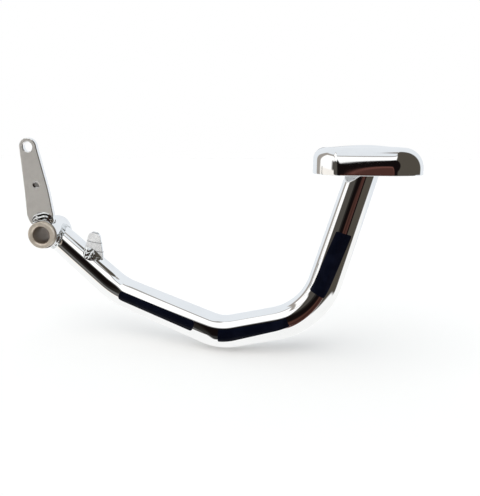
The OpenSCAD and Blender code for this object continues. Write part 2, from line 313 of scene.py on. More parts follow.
def round_corners(corners, steps=8):
    """A closed outline of (x, z, radius) corners, each replaced by its arc."""
    out = []
    count = len(corners)
    for i, (x, z, radius) in enumerate(corners):
        here = Vector((x, z))
        back = Vector(corners[i - 1][:2]) - here
        on = Vector(corners[(i + 1) % count][:2]) - here
        if radius <= 0.0:
            out.append(here)
            continue
        back_u, on_u = back.normalized(), on.normalized()
        half = back_u.angle(on_u) / 2.0
        reach = min(radius / math.tan(half), 0.49 * back.length, 0.49 * on.length)
        real = reach * math.tan(half)
        centre = here + (back_u + on_u).normalized() * (real / math.sin(half))
        a, b = here + back_u * reach - centre, here + on_u * reach - centre
        sweep = a.angle(b)
        for k in range(steps + 1):
            t = k / steps
            wa = math.sin((1.0 - t) * sweep) / math.sin(sweep)
            wb = math.sin(t * sweep) / math.sin(sweep)
            out.append(centre + a * wa + b * wb)
    return out


def inset(outline, distance):
    """The outline moved inward, for one that runs counter-clockwise."""
    count = len(outline)
    out = []
    for i in range(count):
        a, b, c = outline[i - 1], outline[i], outline[(i + 1) % count]
        u, w = (b - a).normalized(), (c - b).normalized()
        n = Vector((-u.y - w.y, u.x + w.x))
        n = n.normalized() if n.length > 1e-9 else Vector((-u.y, u.x))
        lean = max(0.5, n.dot(Vector((-u.y, u.x))))
        out.append(b + n * (distance / lean))
    return out


def press(shape, near, x, z, ball, depth, rows=9, margin=0.25 * MM):
    """A round mark pressed into the near face by a ball. Gives its outer ring."""
    rim = math.sqrt(ball * ball - (ball - depth) ** 2)
    rings = []
    for k in range(rows):
        r = rim * (1.0 - k / rows) + (0.0 if k else margin)
        drop = math.sqrt(max(0.0, ball * ball - r * r)) - (ball - depth) if k else 0.0
        rings.append(shape.ring([(p[0], near + max(0.0, drop), p[1])
                                 for p in circle(r, 48, (x, z))]))
    shape.join_all(rings)
    shape.fan(rings[-1], (x, near + depth, z))
    return rings[0]


def plate(shape, outline, holes, near, far, bevel, dent=None, steps=4):
    """An upright plate with rounded edges. Outline runs counter-clockwise, X right, Z up."""
    def wall(loop, sign):
        rings = []
        for side, face in ((1.0, near), (-1.0, far)):
            part = []
            for k in range(steps + 1):
                t = 0.5 * math.pi * k / steps
                shift = bevel * (1.0 - math.cos(t)) * sign
                y = face + side * bevel * (1.0 - math.sin(t))
                part.append(shape.ring([(p.x, y, p.y) for p in inset(loop, shift)]))
            rings.append(part)
        rings[1].reverse()
        order = list(reversed(rings[0])) + list(reversed(rings[1]))
        shape.join_all(order)
        return order[0], order[-1]

    fronts, backs = [], []
    for loop, sign in [(outline, 1.0)] + [(h, -1.0) for h in holes]:
        front, back = wall(loop, sign)
        fronts.append(front)
        backs.append(back)
    if dent:
        fronts.append(press(shape, near, *dent))
    shape.fill(fronts)
    shape.fill(backs)


def lathe(corners, count=128):
    """Turns a closed outline of (radius, y, rounding) corners about the Y axis."""
    shape = Shape()
    rings = [shape.ring([(p.x * math.cos(math.tau * i / count), p.y,
                          p.x * math.sin(math.tau * i / count)) for i in range(count)])
             for p in round_corners(corners, 5)]
    shape.join_all(rings, around=True)
    return shape


# Course of the tube.

class Course:
    """The tube's axis with its radius, and points on its skin."""

    def __init__(self, sizes):
        root = Vector(sizes.root)
        one, two, three = (Vector(c) for c in (sizes.corner_one, sizes.corner_two,
                                               sizes.corner_three))
        lean = math.tan(sizes.lean)
        top = three + Vector((lean, 0.0, 1.0)) * (sizes.top - three.z)
        corners = [root, one, two, three, top]
        radii = [0.0, sizes.bend_one, sizes.bend_two, sizes.bend_three, 0.0]
        self.parts = []
        self.marks = [0.0]
        here = root
        for i in range(1, 4):
            u = (corners[i] - corners[i - 1]).normalized()
            w = (corners[i + 1] - corners[i]).normalized()
            turn = u.angle(w)
            cut = radii[i] * math.tan(turn / 2.0)
            begin = corners[i] - u * cut
            if (begin - here).dot(u) <= 0.0:
                raise ValueError("the bends leave no length for the run between them")
            self._add(("run", here, u, (begin - here).length))
            centre = corners[i] + (w - u).normalized() * (radii[i] / math.cos(turn / 2.0))
            self._add(("bend", centre, (begin - centre).normalized(), u, radii[i],
                       radii[i] * turn))
            here = corners[i] + w * cut
        self._add(("run", here, (top - here).normalized(), (top - here).length))
        self.length = self.marks[-1]
        a, b, c, d = sizes.radius_root, sizes.radius_neck, sizes.radius_full, sizes.radius_top
        m = self.marks
        self.girth = [(m[0], a), (m[1], b), (m[2], b), (m[3], c), (m[6], c), (m[7], d)]

    def _add(self, part):
        """Adds a run or a bend, whose last value is its length."""
        self.parts.append(part)
        self.marks.append(self.marks[-1] + part[-1])

    def axis(self, s):
        """Point and direction of the axis at a distance s from the pivot."""
        for part, begin, end in zip(self.parts, self.marks, self.marks[1:]):
            if s <= end or end == self.marks[-1]:
                break
        t = s - begin
        if part[0] == "run":
            return part[1] + part[2] * t, part[2].copy()
        _, centre, out, u, radius, _ = part
        a = t / radius
        point = centre + (out * math.cos(a) + u * math.sin(a)) * radius
        return point, (u * math.cos(a) - out * math.sin(a)).normalized()

    def _plain_radius(self, s):
        """Outer radius before its easing."""
        for (s0, r0), (s1, r1) in zip(self.girth, self.girth[1:]):
            if s <= s1:
                return lerp(r0, r1, max(0.0, (s - s0) / (s1 - s0)))
        return self.girth[-1][1]

    def radius(self, s):
        """Outer radius, eased over 10 mm where its taper changes."""
        near = [self._plain_radius(s + d * 2.0 * MM) for d in range(-2, 3)]
        return sum(near) / len(near)

    def skin(self, s, psi, lift=0.0):
        """Point on the skin. Psi is 0 on the near side and grows towards the bends' inside."""
        point, along = self.axis(s)
        front = Vector((0.0, -1.0, 0.0))
        front = (front - along * front.dot(along)).normalized()
        inner = front.cross(along)
        r = self.radius(s) + lift
        return point + (front * math.cos(psi) + inner * math.sin(psi)) * r


def reach_of_cylinder(origin, along, radius):
    """How far along a line it first meets a cylinder about the Y axis, going outward."""
    a = along.x ** 2 + along.z ** 2
    b = origin.x * along.x + origin.z * along.z
    c = origin.x ** 2 + origin.z ** 2 - radius ** 2
    return (-b + math.sqrt(max(0.0, b * b - a * c))) / a

def on_cylinder(point, radius):
    """The point moved square on to a cylinder about the pivot axis."""
    flat = Vector((point.x, 0.0, point.z)).normalized() * radius
    return Vector((flat.x, point.y, flat.z))


def spot_at(course, x, y):
    """Distance and angle of the place on the upper skin over a given x and y."""
    s, psi = x, 0.8
    for _ in range(40):
        point = course.skin(s, psi)
        s += 0.8 * (x - point.x)
        psi = min(1.57, max(-0.2, psi + 60.0 * (y - point.y)))
    return s, psi


# Shader nodes: small helpers, then the shared groups.

def node(tree, kind, **values):
    """A new node with its settings."""
    new = tree.nodes.new(kind)
    for key, value in values.items():
        setattr(new, key, value)
    return new


def feed(tree, socket, value):
    """Links an output to a socket, or sets the socket to a constant."""
    if isinstance(value, bpy.types.NodeSocket):
        tree.links.new(value, socket)
    else:
        socket.default_value = value


def calc(tree, operation, *values):
    """One sum on outputs or constants."""
    new = node(tree, 'ShaderNodeMath', operation=operation)
    for socket, value in zip(new.inputs, values):
        feed(tree, socket, value)
    return new.outputs[0]


def vector_calc(tree, operation, *values):
    """One sum on vectors, or the length of one."""
    new = node(tree, 'ShaderNodeVectorMath', operation=operation)
    for socket, value in zip(new.inputs, values):
        feed(tree, socket, value)
    return new.outputs['Value' if operation == 'LENGTH' else 'Vector']


def ease(tree, value, low, high):
    """Rises softly from 0 to 1 while the value goes from low to high."""
    new = node(tree, 'ShaderNodeMapRange', interpolation_type='SMOOTHSTEP')
    for name, put in (('Value', value), ('From Min', low), ('From Max', high)):
        feed(tree, new.inputs[name], put)
    return new.outputs['Result']


def span(tree, mask, first, second):
    """Maps a mask from 0 to 1 on to a span of numbers."""
    new = node(tree, 'ShaderNodeMapRange')
    for name, put in (('Value', mask), ('To Min', first), ('To Max', second)):
        feed(tree, new.inputs[name], put)
    return new.outputs['Result']


def mix(tree, kind, mask, first, second):
    """Goes from the first colour or number to the second as the mask goes from 0 to 1."""
    new = node(tree, 'ShaderNodeMix', data_type=kind)
    for name, put in (('Factor', mask), ('A', first), ('B', second)):
        feed(tree, new.inputs[name], put)
    return new.outputs['Result']


def texture(tree, kind, vector, scale, **values):
    """A texture at a place and scale."""
    new = node(tree, kind)
    for name, put in (('Vector', vector), ('Scale', scale), *values.items()):
        feed(tree, new.inputs[name], put)
    return new


def object_place(tree):
    """The point being shaded, in the object's own metres."""
    return node(tree, 'ShaderNodeTexCoord').outputs['Object']


def split(tree, vector):
    """The X, Y and Z of a vector."""
    new = node(tree, 'ShaderNodeSeparateXYZ')
    feed(tree, new.inputs[0], vector)
    return new.outputs


def source(socket):
    """The output that feeds a socket."""
    return socket.links[0].from_socket


def rgba(tint):
    return (*tint, 1.0)


def shade(tint, factor):
    """The tint made darker or lighter."""
    return tuple(min(1.0, c * factor) for c in tint)


def new_group(name, inputs, output):
    """A shader node group with named inputs, given with their defaults, and one output."""
    tree = bpy.data.node_groups.new(name, 'ShaderNodeTree')
    for label, default in inputs.items():
        kind = 'NodeSocketVector' if isinstance(default, tuple) else 'NodeSocketFloat'
        socket = tree.interface.new_socket(name=label, in_out='INPUT', socket_type=kind)
        socket.default_value = default
    tree.interface.new_socket(name=output, in_out='OUTPUT', socket_type='NodeSocketFloat')
    put = tree.nodes.new('NodeGroupInput').outputs
    get = tree.nodes.new('NodeGroupOutput').inputs[output]
    return tree, put, get


def handling_group(name):
    """Cloudy variation left by polishing and handling, from 0 to 1."""
    tree, put, get = new_group(name, {"Scale": 60.0, "Low": 0.4, "High": 0.7}, "Cloud")
    noise = texture(tree, 'ShaderNodeTexNoise', object_place(tree), put['Scale'],
                    Detail=4.0, Roughness=0.55)
    feed(tree, get, ease(tree, noise.outputs['Fac'], put['Low'], put['High']))
    return tree


def grain_group(name):
    """Fine grain of worked metal, as a height."""
    tree, put, get = new_group(name, {"Scale": 900.0, "Stretch": (1.0, 1.0, 1.0)}, "Height")
    pulled = vector_calc(tree, 'MULTIPLY', object_place(tree), put['Stretch'])
    noise = texture(tree, 'ShaderNodeTexNoise', pulled, put['Scale'], Detail=3.0)
    feed(tree, get, noise.outputs['Fac'])
    return tree


def face_group(name):
    """1 on the flat faces across the pivot axis, 0 on the edges and in pressed marks."""
    tree, _, get = new_group(name, {}, "Face")
    normal = node(tree, 'ShaderNodeNewGeometry').outputs['Normal']
    across = calc(tree, 'ABSOLUTE', split(tree, normal)['Y'])
    feed(tree, get, ease(tree, across, 0.90, 0.985))
    return tree


def window_group(name):
    """How far a direction lies inside a window given by its four sides, in degrees."""
    tree, put, get = new_group(name, {"Azimuth": 0.0, "Elevation": 0.0, "Left": 0.0,
                                      "Right": 0.0, "Low": 0.0, "High": 0.0, "Soft": 2.0},
                               "Mask")
    sides = []
    for value, limit, half in (("Azimuth", "Left", 0.5), ("Azimuth", "Right", -0.5),
                               ("Elevation", "Low", 0.5), ("Elevation", "High", -0.5)):
        gap = calc(tree, 'SUBTRACT', put[value], put[limit])
        sides.append(ease(tree, calc(tree, 'DIVIDE', gap, put['Soft']), -half, half))
    wide, high = calc(tree, 'MULTIPLY', *sides[:2]), calc(tree, 'MULTIPLY', *sides[2:])
    feed(tree, get, calc(tree, 'MULTIPLY', wide, high))
    return tree


def oval_group(name):
    """How far a direction lies inside an oval given by its middle and half widths."""
    tree, put, get = new_group(name, {"Azimuth": 0.0, "Elevation": 0.0, "Middle az": 0.0,
                                      "Middle el": 0.0, "Wide": 0.0, "High": 0.0,
                                      "Soft": 2.0}, "Mask")
    squares = []
    for value, middle, half in (("Azimuth", "Middle az", "Wide"),
                                ("Elevation", "Middle el", "High")):
        gap = calc(tree, 'SUBTRACT', put[value], put[middle])
        part = calc(tree, 'DIVIDE', gap, put[half])
        squares.append(calc(tree, 'MULTIPLY', part, part))
    out = calc(tree, 'SQRT', calc(tree, 'ADD', *squares))
    inside = calc(tree, 'MULTIPLY', calc(tree, 'SUBTRACT', 1.0, out), put['Wide'])
    feed(tree, get, ease(tree, calc(tree, 'DIVIDE', inside, put['Soft']), -0.5, 0.5))
    return tree


GROUPS = {"Handling": handling_group, "Metal_grain": grain_group, "Flat_face": face_group,
          "Soft_window": window_group, "Soft_oval": oval_group}


def group_node(tree, name, *values):
    """A node of a shared group with its inputs in order. The first use builds the group."""
    group = bpy.data.node_groups.get(name) or GROUPS[name](name)
    new = node(tree, 'ShaderNodeGroup', node_tree=group)
    for socket, value in zip(new.inputs, values):
        feed(tree, socket, value)
    return new


# Finishes of this pedal.

WAVE_GAP = 0.314  # a wave texture's bands lie this far apart at scale 1, in metres
# The ear's creases are painted shade: thin darker lines along the bands of a wave texture.
CREASE_BEGINS = 0.95  # where on the wave a crease begins to show
CREASE_PAINTED_SHADE = (0.42, 0.43, 0.44)
EAR_CLEAN, EAR_DULL = (0.98, 0.985, 0.99), (0.93, 0.935, 0.94)
HOLLOW_TINT = (0.86, 0.87, 0.88)
MARK_TINT = (0.34, 0.33, 0.32)
# Painted shade: the darker tint inside the sleeve's bore stands for the shade that falls in it.
BORE_PAINTED_SHADE = (0.26, 0.20, 0.15)
MARK_SHARE = 0.44  # the lever mark's place along X, as a share of the rod hole's


def metal(name, tints, rough, scales, depth, stretch=(1.0, 1.0, 1.0), metallic=1.0,
          edge=None):
    """A metal with cloudy tint and roughness, a fine grain and perhaps brighter edges.

    Tints and roughness are given where it is clean and where it is dull, scales for the
    clouds and the grain, and an edge as its tint and roughness.
    """
    mat = bpy.data.materials.new(name)
    mat.use_nodes = True
    tree = mat.node_tree
    skin = tree.nodes['Principled BSDF']
    cloud = group_node(tree, "Handling", scales[0]).outputs['Cloud']
    grain = group_node(tree, "Metal_grain", scales[1], stretch).outputs['Height']
    paint = mix(tree, 'RGBA', cloud, rgba(tints[0]), rgba(tints[1]))
    satin = span(tree, cloud, *rough)
    if edge:
        face = group_node(tree, "Flat_face").outputs['Face']
        paint = mix(tree, 'RGBA', face, rgba(edge[0]), paint)
        satin = mix(tree, 'FLOAT', face, edge[1], satin)
        metallic = span(tree, face, 1.0, metallic)
    bump = node(tree, 'ShaderNodeBump')
    bump.inputs['Strength'].default_value = 1.0
    bump.inputs['Distance'].default_value = depth
    feed(tree, bump.inputs['Height'], grain)
    for key, value in (('Base Color', paint), ('Roughness', satin), ('Metallic', metallic),
                       ('Normal', bump.outputs['Normal'])):
        feed(tree, skin.inputs[key], value)
    return mat


def tint_for_shade_and_mark(mat, centre, pull, radius, soft, tint):
    """Tints a metal near a point, as painted shade inside the sleeve's bore and as the darker
    pressed mark on the lever; a pull of 0 along an axis makes the place a cylinder.
    """
    tree = mat.node_tree
    paint = tree.nodes['Principled BSDF'].inputs['Base Color']
    gap = vector_calc(tree, 'SUBTRACT', object_place(tree), centre)
    away = vector_calc(tree, 'LENGTH', vector_calc(tree, 'MULTIPLY', gap, pull))
    mask = ease(tree, away, radius, radius + soft)
    feed(tree, paint, mix(tree, 'RGBA', mask, rgba(tint), source(paint)))


def lean_and_crease_shade(mat, lean, tilt, gap):
    """Gives a small bent sheet its backward lean through its shading normals, and painted shade
    as thin darker lines along fine creases in the plating.
    """
    tree = mat.node_tree
    skin = tree.nodes['Principled BSDF']
    bump = source(skin.inputs['Normal']).node
    turn = node(tree, 'ShaderNodeMapping')
    turn.inputs['Rotation'].default_value = (0.0, tilt, 0.0)
    feed(tree, turn.inputs['Vector'], object_place(tree))
    wave = texture(tree, 'ShaderNodeTexWave', turn.outputs['Vector'], WAVE_GAP / gap,
                   Distortion=2.0, Detail=0.0)
    wave.bands_direction = 'Z'
    # Painted shade: the mask of the thin lines darkened along the creases.
    line = ease(tree, wave.outputs['Fac'], CREASE_BEGINS, 1.0)
    steep = -lean / bump.inputs['Distance'].default_value
    ramp = calc(tree, 'MULTIPLY', split(tree, object_place(tree))['Z'], steep)
    height, paint = bump.inputs['Height'], skin.inputs['Base Color']
    feed(tree, height, calc(tree, 'ADD', ramp, source(height)))
    feed(tree, paint, mix(tree, 'RGBA', line, source(paint), rgba(CREASE_PAINTED_SHADE)))


def dull_hollow(mat, tint, rough, metallic):
    """Thinner, duller plating where the mesh is marked as the inside of a pressing."""
    tree = mat.node_tree
    skin = tree.nodes['Principled BSDF'].inputs
    mark = node(tree, 'ShaderNodeAttribute', attribute_name="hollow").outputs['Fac']
    for name, kind, value in (('Base Color', 'RGBA', rgba(tint)), ('Roughness', 'FLOAT', rough)):
        feed(tree, skin[name], mix(tree, kind, mark, source(skin[name]), value))
    feed(tree, skin['Metallic'], span(tree, mark, 1.0, metallic))


def chrome_finish(name, scene):
    look = scene.pedal_finishes
    tints = (look.chrome, shade(look.chrome, 0.97))
    rough = look.chrome_rough
    return metal(name, tints, (rough, rough + 0.03), (40.0, 320.0), 0.6e-6)


def pad_finish(name, scene):
    look = scene.pedal_finishes
    tints = (look.chrome, shade(look.chrome, 0.97))
    rough = look.chrome_rough
    mat = metal(name, tints, (rough + 0.01, rough + 0.05), (55.0, 260.0), 1e-6)
    dull_hollow(mat, HOLLOW_TINT, 0.45, 0.3)
    return mat


def bead_finish(name, scene):
    tint = scene.pedal_finishes.bead
    return metal(name, (tint, shade(tint, 0.75)), (0.10, 0.24), (300.0, 520.0), 12e-6)


def ear_finish(name, scene):
    mat = metal(name, (EAR_CLEAN, EAR_DULL), (0.24, 0.36), (260.0, 500.0), 14e-6,
                metallic=0.8, edge=(scene.pedal_finishes.chrome, 0.06))
    lean_and_crease_shade(mat, 0.5, math.radians(-14.0), 7.0 * MM)
    return mat


def steel_finish(name, scene):
    look, plate_sizes = scene.pedal_finishes, scene.pedal_lever
    mat = metal(name, (look.steel, shade(look.steel, 0.9)), (0.42, 0.50), (90.0, 1800.0),
                12e-6, metallic=0.45, edge=(look.chrome, 0.08))
    mark = (MARK_SHARE * plate_sizes.hole_x, plate_sizes.near, plate_sizes.mark_z)
    tint_for_shade_and_mark(mat, mark, (1.0, 1.0, 1.0), 1.9 * MM, 0.9 * MM, MARK_TINT)
    return mat


def sleeve_finish(name, scene):
    tint = scene.pedal_finishes.sleeve
    mat = metal(name, (tint, shade(tint, 0.82)), (0.28, 0.42), (160.0, 900.0), 10e-6,
                stretch=(1.0, 0.15, 1.0), metallic=0.35)
    # Painted shade: the inside of the bore is darkened to stand for the shade in it.
    tint_for_shade_and_mark(mat, (0.0, 0.0, 0.0), (1.0, 0.0, 1.0), 6.15 * MM, 0.35 * MM, BORE_PAINTED_SHADE)
    return mat


def film_finish(name, scene):
    tint = scene.pedal_finishes.film
    mat = metal(name, (tint, shade(tint, 1.6)), (0.16, 0.26), (120.0, 500.0), 1e-6,
                metallic=0.0)
    mat.node_tree.nodes['Principled BSDF'].inputs['Specular IOR Level'].default_value = 0.12
    return mat


FINISHES = {"Bright_chrome": chrome_finish, "Pad_chrome": pad_finish,
            "Bead_chrome": bead_finish, "Ear_plate": ear_finish,
            "Lever_nickel": steel_finish, "Turned_bronze": sleeve_finish,
            "Label_film": film_finish}


def finish(name):
    """A shared material. The first piece that asks for it builds it."""
    return bpy.data.materials.get(name) or FINISHES[name](name, bpy.context.scene)


# Pieces.

ARM_SINK = 0.25 * MM  # how deep the coped end sits in the boss
ARM_COPE = 17.0 * MM  # where the rings have eased from the cope to plain ones
ARM_STEP = 2.0 * MM  # spacing of the rings along the tube


class PEDAL_OT_arm(bpy.types.Operator):
    """Build the bent tube from the boss to the pad"""
    bl_idname = "pedal.arm"
    bl_label = "Arm tube"

    def execute(self, context):
        sizes = context.scene.pedal_arm
        course = Course(sizes)
        turns = [math.tau * i / sizes.around for i in range(sizes.around)]
        shape = Shape()
        root, along = course.axis(0.0)
        seat = context.scene.pedal_pivot.boss_radius - ARM_SINK

        def cope(share_out, psi):
            """A point of the tube's end on the boss, nearer the axis for a small share."""
            start = root + (course.skin(0.0, psi) - root) * share_out
            return start + along * reach_of_cylinder(start, along, seat)

        rings = [shape.ring([cope(k / 5.0, psi) for psi in turns]) for k in range(1, 5)]
        shape.fan(rings[0], cope(0.0, 0.0))
        starts = [reach_of_cylinder(course.skin(0.0, psi), along, seat) for psi in turns]
        for k in range(7):
            rings.append(shape.ring([course.skin(lerp(start, ARM_COPE, k / 6.0), psi)
                                     for start, psi in zip(starts, turns)]))
        last = course.length - END
        count = int((last - ARM_COPE) / ARM_STEP)
        for k in range(1, count + 1):
            s = lerp(ARM_COPE, last, k / count)
            rings.append(shape.ring([course.skin(s, psi) for psi in turns]))
        _, up = course.axis(last)
        ends = [course.skin(last, psi) for psi in turns]
        for k in (1, 2, 3):
            rings.append(shape.ring([p + up * ((sizes.top - p.z) / up.z) * (k / 3.0)
                                     for p in ends]))
        shape.join_all(rings)
        shape.fan(rings[-1], shape.middle(rings[-1]))
        shape.make("arm_tube", finish("Bright_chrome"), "pedal", ARM_NODES, hard=50)
        return {'FINISHED'}


class PEDAL_OT_pivot(bpy.types.Operator):
    """Build the boss and the flanged sleeve that turns in it"""
    bl_idname = "pedal.pivot"
    bl_label = "Pivot boss and sleeve"

    def execute(self, context):
        s = context.scene.pedal_pivot
        inner_edge = 0.25 * MM
        boss = [(s.boss_bore, s.boss_near, inner_edge),
                (s.boss_radius, s.boss_near, s.bevel),
                (s.boss_radius, s.boss_far, s.bevel),
                (s.boss_bore, s.boss_far, inner_edge)]
        neck = s.sleeve_near + s.flange_thick
        sleeve = [(s.bolt_radius, s.sleeve_near + s.mouth, 0.1 * MM),
                  (s.bolt_radius + s.mouth, s.sleeve_near, 0.12 * MM),
                  (s.flange_radius, s.sleeve_near, 0.4 * MM),
                  (s.flange_radius, neck, 0.3 * MM),
                  (s.barrel_radius, neck, 0.05 * MM),
                  (s.barrel_radius, s.sleeve_far, 0.3 * MM),
                  (s.bolt_radius, s.sleeve_far, 0.4 * MM)]
        lathe(boss).make("boss", finish("Bright_chrome"), "pedal", ("pivot_boss",), hard=50)
        lathe(sleeve).make("sleeve", finish("Turned_bronze"), "sleeve", ("pivot_sleeve",),
                           slot="sleeve_metal", hard=50)
        return {'FINISHED'}


LEVER_LEFT, LEVER_RIGHT = 0.61, 0.39  # shares of the foot's width beside the pivot
LEVER_KNEE, LEVER_WAIST = 0.22, 0.5  # heights of its side corners, as shares of the hole's
LEVER_SINK = 0.3 * MM  # how deep its foot sits in the boss


class PEDAL_OT_lever(bpy.types.Operator):
    """Build the upright plate that the brake rod pulls"""
    bl_idname = "pedal.lever"
    bl_label = "Rod lever"

    def execute(self, context):
        s = context.scene.pedal_lever
        seat = context.scene.pedal_pivot.boss_radius - LEVER_SINK
        left, right = -LEVER_LEFT * s.foot_width, LEVER_RIGHT * s.foot_width
        knee, waist = LEVER_KNEE * s.hole_z, LEVER_WAIST * s.hole_z
        long_curve = 120.0 * MM
        side = round_corners([
            (s.hole_x - s.top_radius, s.hole_z, 0.0),
            (left - 0.05 * MM, waist, long_curve),
            (left, knee, 9.0 * MM),
            (left + 1.7 * MM, 8.2 * MM, 6.0 * MM),
            (left + 4.6 * MM, 4.2 * MM, 0.0),
            (0.0, 0.0, 0.0),
            (right - 2.2 * MM, 5.0 * MM, 0.0),
            (right - 0.4 * MM, 8.9 * MM, 5.0 * MM),
            (right, knee, 12.0 * MM),
            (right - 2.1 * MM, waist, long_curve),
            (s.hole_x + s.top_radius, s.hole_z, 0.0)], 10)[1:-1]
        keep_left = [p for p in side if p.x < 0.0 and p.length > seat]
        keep_right = [p for p in side if p.x > 0.0 and p.length > seat]
        a0 = math.atan2(keep_left[-1].y, keep_left[-1].x)
        a1 = math.atan2(keep_right[0].y, keep_right[0].x)
        arc = [Vector((seat * math.cos(lerp(a0, a1, k / 24.0)),
                       seat * math.sin(lerp(a0, a1, k / 24.0)))) for k in range(25)]
        outline = (half_round(s.hole_x, s.hole_z, s.top_radius, 1.0)
                   + keep_left + arc + keep_right)
        hole = [Vector(p) for p in circle(s.hole_radius, 48, (s.hole_x, s.hole_z))]
        shape = Shape()
        plate(shape, outline, [hole], s.near, s.far, s.bevel,
              dent=(MARK_SHARE * s.hole_x, s.mark_z, s.mark_ball, s.mark_depth))
        shape.make("rod_lever", finish("Lever_nickel"), "pedal", ("lever_plate",),
                   slot="satin_steel", hard=40)
        return {'FINISHED'}


class PEDAL_OT_tab(bpy.types.Operator):
    """Build the small ear on the first run"""
    bl_idname = "pedal.tab"
    bl_label = "Stop tab"

    def execute(self, context):
        s = context.scene.pedal_tab
        low, high = TAB_LOW.x, TAB_HIGH.x
        x, z, r = s.middle_x, s.middle_z, s.top_radius
        side = round_corners([
            (x - r, z, 0.0), (low, z - 6.8 * MM, 5.0 * MM), (low, z - 10.2 * MM, 0.0),
            (high, z - 19.5 * MM, 0.0), (high, z - 10.0 * MM, 5.0 * MM), (x + r, z, 0.0)], 8)
        shape = Shape()
        plate(shape, half_round(x, z, r) + side[1:-1], [], TAB_LOW.y, TAB_HIGH.y, s.bevel)
        shape.make("ear", finish("Ear_plate"), "pedal", ("stop_tab",), hard=40)
        return {'FINISHED'}


TOE_SINK = 0.02 * MM  # how far a bead's toes reach into the metal


def section(toe_a, toe_b, root, swell, lump=0.0, rolls=3.0, shift=0.0, steps=24):
    """A bead's cross-section: from toe to toe over the swollen, lumpy face, then the root."""
    chord = toe_b - toe_a
    out = ((toe_a + toe_b) / 2.0 - root)
    out = (out - chord * (out.dot(chord) / chord.length_squared)).normalized()
    points = []
    for k in range(steps + 1):
        t = k / steps
        arch = math.sin(math.pi * t)
        rise = (swell * arch ** 0.8
                + lump * arch ** 0.4 * math.sin(math.pi * (rolls * t + shift)) ** 2)
        points.append(toe_a + chord * t + out * rise)
    points.append(root)
    return points


def wave(turns, start=0.0):
    """A ripple along a bead, for a distance given in turns."""
    return math.sin(math.tau * turns + start)


def lay_bead(shape, sections, closed):
    """Joins cross-sections, each a closed loop of points, into one bead."""
    rings = [shape.ring(points) for points in sections]
    shape.join_all(rings, around=closed)
    if not closed:
        for ring in (rings[0], rings[-1]):
            shape.fan(ring, shape.middle(ring))


